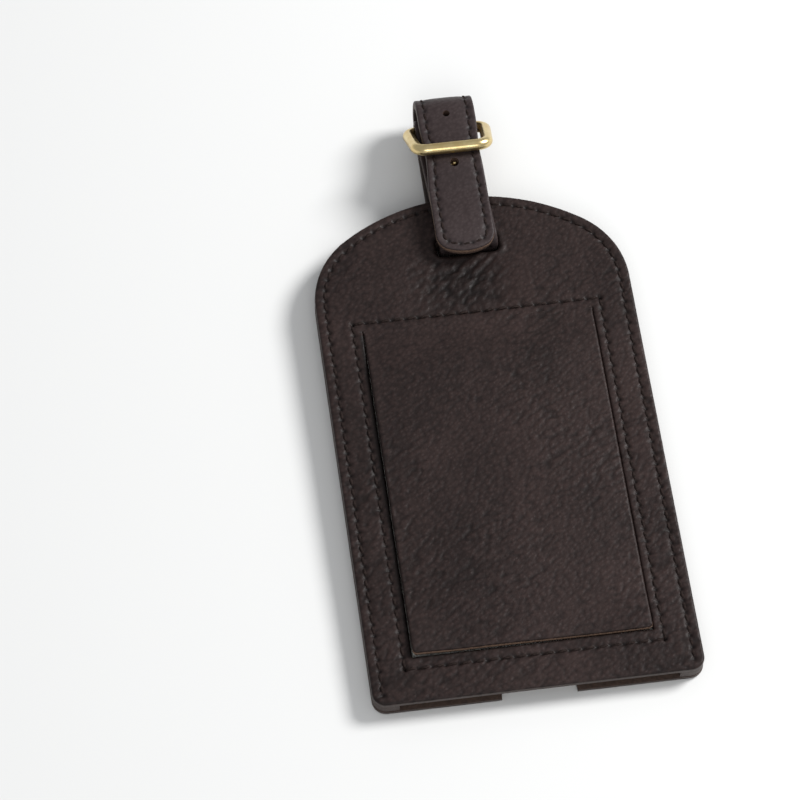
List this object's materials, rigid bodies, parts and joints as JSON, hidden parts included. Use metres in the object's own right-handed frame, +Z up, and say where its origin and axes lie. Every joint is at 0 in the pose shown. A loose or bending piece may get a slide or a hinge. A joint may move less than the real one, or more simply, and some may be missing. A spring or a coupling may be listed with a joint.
{
  "type": "luggage tag",
  "caption": "Leather luggage tag with an arched top, a hinged privacy flap over a card window, and a buckled strap looped through its slot.",
  "frame": {"origin": "centre of the overall footprint, on the surface that the tag lies on", "axes": "+Y along the tag from the card pocket's mouth to the strap's fold, +Z up out of the front with the flap, +X across; the tag's own plane rises 1.13 degrees towards +Y because it leans on the strap behind it"},
  "size_m": [0.07, 0.1478, 0.0169],
  "materials": {
    "body_leather": "dark brown pebble grain",
    "strap_leather": "dark brown smooth strap leather",
    "leather_lining": "thin brown lining leather, matt",
    "thread": "dark brown bonded thread",
    "board": "bonded fibre board",
    "card": "uncoated cream card",
    "clear_film": "clear flexible PVC",
    "brass": "pale polished brass plate"
  },
  "bodies": {
    "body": {"front_leather": "body_leather", "filler_panel": "body_leather", "back_leather": "body_leather", "back_board": "board", "window_film": "clear_film", "window_thread": "thread", "edge_thread": "thread", "edge_bobbin_thread": "thread", "strap_anchor_leather": "strap_leather", "strap_anchor_lining": "leather_lining", "strap_anchor_thread_left": "thread", "strap_anchor_thread_right": "thread"},
    "card": {"address_card": "card"},
    "flap": {"flap_leather": "body_leather", "flap_lining": "leather_lining"},
    "strap_tip": {"strap_tip_leather": "strap_leather", "strap_tip_lining": "leather_lining", "strap_tip_thread": "thread"},
    "strap_loop": {"strap_loop_leather": "strap_leather", "strap_loop_lining": "leather_lining", "strap_loop_thread_left": "thread", "strap_loop_thread_right": "thread", "strap_buckle_leather": "strap_leather", "strap_buckle_lining": "leather_lining", "strap_buckle_thread_left": "thread", "strap_buckle_thread_right": "thread"},
    "buckle": {"buckle_frame": "brass"},
    "prong": {"prong": "brass"}
  },
  "joints": [
    {"name": "card_slide", "type": "slide", "parent": "body", "child": "card", "axis": [0, -0.9998, -0.0198], "range_m": [0, 0.08]},
    {"name": "flap_lift", "type": "hinge", "parent": "body", "child": "flap", "pos_m": [0, 0.01543, 0.00747], "axis": [-1, 0, 0], "range_deg": [0, 120]},
    {"name": "strap_tip_lift", "type": "hinge", "parent": "body", "child": "strap_tip", "pos_m": [0, 0.04544, 0.00996], "axis": [-1, 0, 0], "range_deg": [0, 60]},
    {"name": "strap_swing", "type": "hinge", "parent": "body", "child": "strap_loop", "pos_m": [0, 0.04934, 0.00989], "axis": [1, 0, 0], "range_deg": [0, 60]},
    {"name": "buckle_lift", "type": "hinge", "parent": "strap_loop", "child": "buckle", "pos_m": [0, 0.06659, 0.00748], "axis": [-1, 0, 0], "range_deg": [0, 90]},
    {"name": "prong_lift", "type": "hinge", "parent": "strap_loop", "child": "prong", "pos_m": [0, 0.06659, 0.00748], "axis": [-1, 0, 0], "range_deg": [0, 2]}
  ]
}
